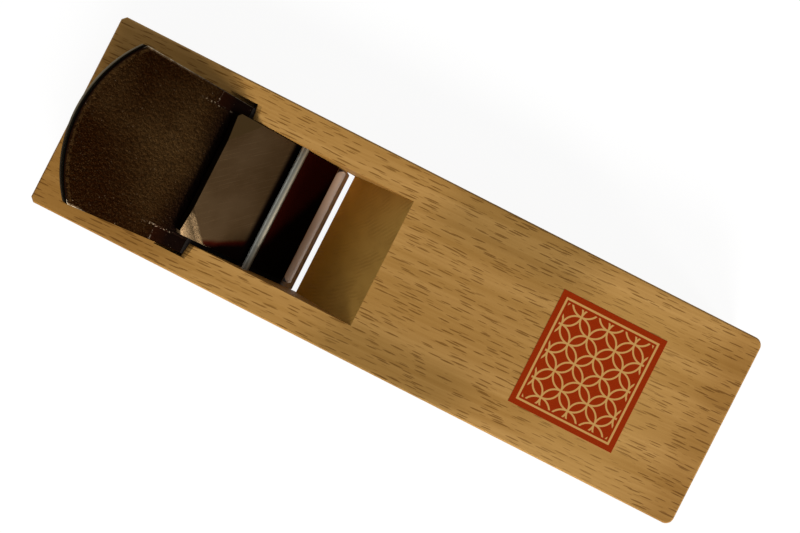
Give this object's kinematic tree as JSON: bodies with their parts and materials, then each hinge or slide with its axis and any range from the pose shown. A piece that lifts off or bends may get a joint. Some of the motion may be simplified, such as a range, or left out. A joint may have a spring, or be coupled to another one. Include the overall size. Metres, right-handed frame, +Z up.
{
  "type": "hand plane",
  "caption": "Pull-type wooden hand plane: an oak stock with a tapered blade wedged in two grooves and a chip breaker held under a cross pin.",
  "frame": {"origin": "middle of the sole", "axes": "+X along the stock, the way the cutting edge points; +Y across the stock; +Z up from the sole"},
  "size_m": [0.27, 0.078, 0.0749],
  "materials": {
    "stock_wood": "planed oak, thin clear finish",
    "blade_iron": "forged, dark brown oxide",
    "blade_steel": "ground and honed",
    "chip_breaker_iron": "forged, smooth brown oxide",
    "chip_breaker_steel": "ground",
    "pin_steel": "drawn and polished",
    "label_print": "thin printed film"
  },
  "bodies": {
    "stock": {"plane_body": "stock_wood", "retaining_pin": "pin_steel", "label_panel": "label_print"},
    "blade": {"blade_iron": "blade_iron", "blade_steel": "blade_steel"},
    "chip_breaker": {"chip_breaker_iron": "chip_breaker_iron", "chip_breaker_steel": "chip_breaker_steel"}
  },
  "joints": [
    {"name": "blade_slide", "type": "slide", "parent": "stock", "child": "blade", "axis": [-0.7809, 0, 0.6247], "range_m": [-0.0019, 0.065]},
    {"name": "chip_breaker_slide", "type": "slide", "parent": "blade", "child": "chip_breaker", "axis": [-0.7642, 0, 0.6449], "range_m": [-0.0016, 0.06]}
  ]
}
